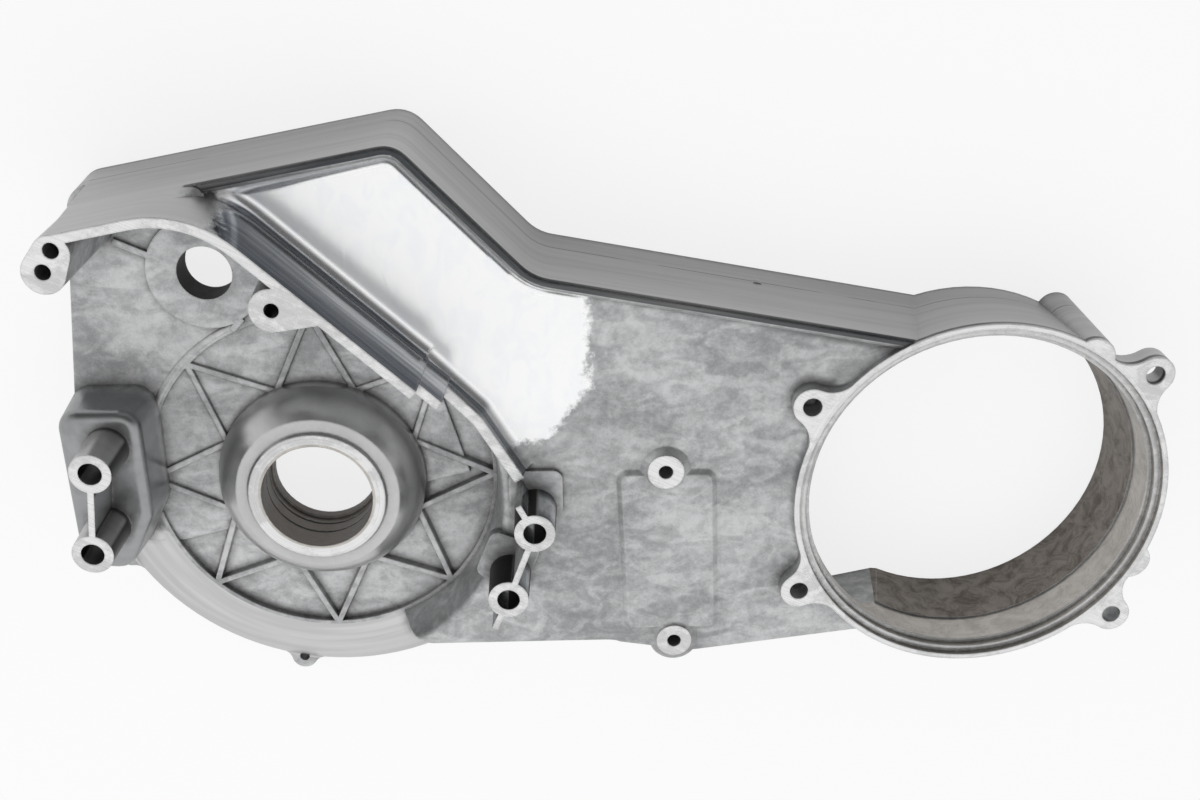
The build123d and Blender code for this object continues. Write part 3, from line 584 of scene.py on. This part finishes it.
def tip_fairing(material):
    """Skin that carries the upper wall smoothly into the tall wall, up to where the rim begins."""
    columns, flat_rows, bowed_rows = 16, 4, 14
    start_x, end_x, end_lean = -384.5, -361.5, 0.0588
    foot_z, flat_z, rise = WEB_TOP - 0.5, RIM_TOP - RIM_ROUND, 20.0
    # The tall wall stands a little proud of the upper wall and then curves away from it
    arc_start_x, wall_proud = -383.5, 0.17
    sunk_at_start, proud_at_end, tuck = 0.02, 0.015, 0.2
    rows = []
    for step in range(columns + 1):
        share = step / columns
        head_z = RIM_TOP + rise * (1 - share)
        row = []
        for lift in range(flat_rows + bowed_rows + 1):
            # Above the flat part each column bows in until it lies under the tall wall
            climb = math.sin(math.radians(90 * max(0, lift - flat_rows) / bowed_rows))
            z = foot_z + (flat_z - foot_z) * min(lift, flat_rows) / flat_rows + (head_z - flat_z) * climb
            x = start_x + (end_x + end_lean * (z - foot_z) - start_x) * share
            to_wall = LIP_ARC_RADIUS - math.sqrt(LIP_ARC_RADIUS**2 - (x - arc_start_x) ** 2) - wall_proud
            outer = (wall_proud - sunk_at_start) * (share - 1) - proud_at_end * share
            gentle = climb * climb * (3 - 2 * climb)
            round_edge = 1 - math.sqrt(1 - climb * climb)
            bow = gentle + (round_edge - gentle) * share**3
            row.append(wall_point(x, outer + (to_wall + tuck - outer) * bow, z))
        rows.append(row)
    sheet("tip_fairing", rows, material)


def ring_ridge(material):
    """Rounded back of the rib that goes on round the bowl over the web."""
    ridge_radius, back_radius, middle_z = 88.1, 2.4, 25.9
    first_bearing, last_bearing, steps, sides = 113.0, 153.0, 24, 12
    rows = []
    for step in range(steps + 1):
        bearing = math.radians(first_bearing + (last_bearing - first_bearing) * step / steps)
        row = []
        for side in range(sides, -1, -1):
            turn = math.pi * side / sides
            radius = ridge_radius + back_radius * math.cos(turn)
            x, y = CLUTCH_AXIS_X + radius * math.cos(bearing), radius * math.sin(bearing)
            row.append(from_engine(x, y, middle_z + back_radius * math.sin(turn)))
        rows.append(row)
    sheet("ring_ridge", rows, material)


def floor_white():
    """Pale floor that takes the shadow, lifted to white for the camera and partly in the metal's mirror."""
    material = bpy.data.materials.new("floor_white")
    material.use_nodes = True
    material.node_tree.nodes.clear()
    t = Tree(material.node_tree)
    ray = t.node("ShaderNodeLightPath").outputs
    plain = t.node("ShaderNodeBsdfDiffuse", {"Color": grey(0.86)})
    white = t.node("ShaderNodeEmission", {"Color": grey(1.0), "Strength": 1.0})
    seen = t.highest(ray["Is Camera Ray"], ray["Is Transmission Ray"])
    share = t.highest(t.product(seen, 0.8), t.product(ray["Is Glossy Ray"], 0.25))
    both = t.node("ShaderNodeMixShader", {0: share, 1: plain.outputs[0], 2: white.outputs[0]})
    t.node("ShaderNodeOutputMaterial", {"Surface": both.outputs[0]})
    return material


def soft_lamp(name, place, size, radiance):
    """Large rectangular lamp aimed at the object, seen by its plain surfaces and not in its mirrors."""
    lamp = bpy.data.lights.new(name, "AREA")
    lamp.shape = "RECTANGLE"
    lamp.size, lamp.size_y = size
    lamp.energy = radiance * math.pi * size[0] * size[1]
    holder = bpy.data.objects.new(name, lamp)
    holder.location = place
    holder.rotation_euler = (-Vector(place)).to_track_quat("-Z", "Y").to_euler()
    holder.visible_glossy = False
    bpy.context.scene.collection.objects.link(holder)


def studio_world():
    """White surroundings, with a darker side beyond the upper wall that gives the metal its form."""
    world = bpy.data.worlds.new("studio")
    world.use_nodes = True
    world.node_tree.nodes.clear()
    t = Tree(world.node_tree)
    ray = t.node("ShaderNodeLightPath").outputs
    direction = t.node("ShaderNodeTexCoord").outputs["Generated"]
    toward_dark = t.vector("DOT_PRODUCT", direction, Vector((0.32, 0.93, 0.12)).normalized())
    mirrored = t.ramp(toward_dark, 0.1, 0.7, 1.0, 0.10)
    tone = t.mix(ray["Is Glossy Ray"], 0.62, mirrored)
    tone = t.mix(t.highest(ray["Is Camera Ray"], ray["Is Transmission Ray"]), tone, 1.0)
    back = t.node("ShaderNodeBackground", {"Color": grey(1.0), "Strength": tone})
    t.node("ShaderNodeOutputWorld", {"Surface": back.outputs[0]})
    return world


def photo_camera():
    """Camera solved from the photograph's circles and posts."""
    camera = bpy.data.cameras.new("camera")
    camera.sensor_width = 36.0
    camera.lens = 43.99
    camera.shift_x = -0.0141
    camera.shift_y = 0.0884
    right = Vector((0.9995, 0.0, 0.0316))
    up = Vector((0.01446, 0.88929, -0.45711))
    back = Vector((-0.02811, 0.45734, 0.88885))
    turn = Matrix((right, up, back)).transposed().to_4x4()
    holder = bpy.data.objects.new("camera", camera)
    holder.matrix_world = Matrix.Translation(from_engine(-198.07, 325.67, 698.83)) @ turn
    bpy.context.scene.collection.objects.link(holder)
    return holder


alloy = cast_alloy()
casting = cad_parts["cover_casting"]
casting.data.materials.clear()
casting.data.materials.append(alloy)
tip_fairing(alloy)
ring_ridge(alloy)

# The floor lies just under the gasket face
bpy.ops.mesh.primitive_plane_add(size=6, location=(0, 0, -0.2 * MM))
floor = bpy.context.object
floor.name = "floor"
floor.data.materials.append(floor_white())

soft_lamp("overhead", (0.0, -0.9, 1.9), (2.6, 1.6), 1.2)
soft_lamp("side", (-1.8, -0.3, 1.2), (1.4, 1.4), 1.2)
scene = bpy.context.scene
scene.world = studio_world()
scene.camera = photo_camera()
scene.view_settings.view_transform = "Standard"
